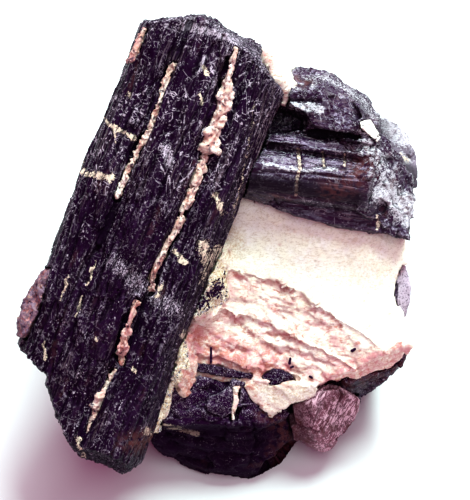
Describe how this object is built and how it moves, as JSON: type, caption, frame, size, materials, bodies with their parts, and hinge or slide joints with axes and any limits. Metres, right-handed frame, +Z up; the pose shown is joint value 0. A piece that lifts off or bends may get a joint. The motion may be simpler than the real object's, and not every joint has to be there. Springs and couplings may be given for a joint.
{
  "type": "tourmaline crystal specimen",
  "caption": "Hand-sized mineral specimen: striated black tourmaline crystals grown together with pale pink and cream feldspar, resting on a flat foot.",
  "frame": {"origin": "centre of the bounding box on the floor, at the level of the flat foot", "axes": "+Z up; +Y towards the back, where the face leans; +X to the right of the face with the pale feldspar"},
  "size_m": [0.0802, 0.0902, 0.0762],
  "materials": {
    "black_tourmaline": "glassy, striated along its length, dusted with fine white fibres",
    "grey_tourmaline": "glassy on the ribs, dull and granular where broken",
    "dark_tourmaline": "sparkling, finely broken",
    "brown_tourmaline": "silky, fibrous",
    "feldspar": "matte with pearly cleaved faces, stained pink and red",
    "white_feldspar": "pearly, cleaved",
    "red_feldspar": "matte, granular",
    "vein_feldspar": "matte, granular"
  },
  "bodies": {
    "root": {"main_crystal": "black_tourmaline", "rear_crystal": "grey_tourmaline", "side_crystal": "grey_tourmaline", "lower_crystal": "dark_tourmaline", "prong_crystal": "brown_tourmaline", "lens_crystal": "dark_tourmaline", "chip_crystal": "dark_tourmaline", "feldspar_matrix": "feldspar", "white_chip": "white_feldspar", "left_crust": "red_feldspar", "long_vein": "vein_feldspar", "middle_vein": "vein_feldspar", "foot_vein": "vein_feldspar", "short_vein": "vein_feldspar", "corner_vein": "vein_feldspar"}
  },
  "joints": []
}
